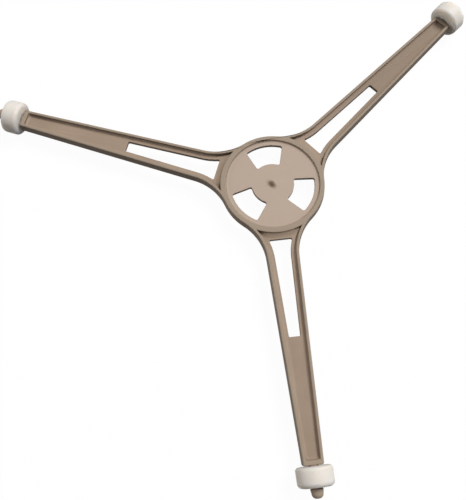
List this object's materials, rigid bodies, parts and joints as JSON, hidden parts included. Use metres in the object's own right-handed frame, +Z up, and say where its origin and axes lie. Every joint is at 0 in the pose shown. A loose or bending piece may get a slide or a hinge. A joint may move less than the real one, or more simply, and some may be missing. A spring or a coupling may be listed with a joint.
{
  "type": "microwave roller spider",
  "caption": "Flat moulded spider with channel arms and a windowed hub; a free-turning roller on each arm's stub axle carries a microwave oven's glass tray.",
  "frame": {"origin": "on the hub's axis, in the mouth of the drive socket on the underside", "axes": "+Z up along the hub's axis, with the first arm within 5 degrees of -Y"},
  "size_m": [0.2001, 0.1817, 0.013],
  "materials": {
    "spider_plastic": "satin moulded plastic, taupe",
    "roller_plastic": "smooth white plastic"
  },
  "bodies": {
    "spider": {"spider": "spider_plastic"},
    "roller_1": {"roller_1": "roller_plastic"},
    "roller_2": {"roller_2": "roller_plastic"},
    "roller_3": {"roller_3": "roller_plastic"}
  },
  "joints": [
    {"name": "roller_1_spin", "type": "hinge", "parent": "spider", "child": "roller_1", "pos_m": [-0.01042, -0.10825, 0.005], "axis": [-0.0958, -0.9954, 0], "continuous": true},
    {"name": "roller_2_spin", "type": "hinge", "parent": "spider", "child": "roller_2", "pos_m": [0.091, 0.05955, 0.005], "axis": [0.8368, 0.5476, 0], "continuous": true},
    {"name": "roller_3_spin", "type": "hinge", "parent": "spider", "child": "roller_3", "pos_m": [-0.09602, 0.05106, 0.005], "axis": [-0.8829, 0.4695, 0], "continuous": true}
  ]
}
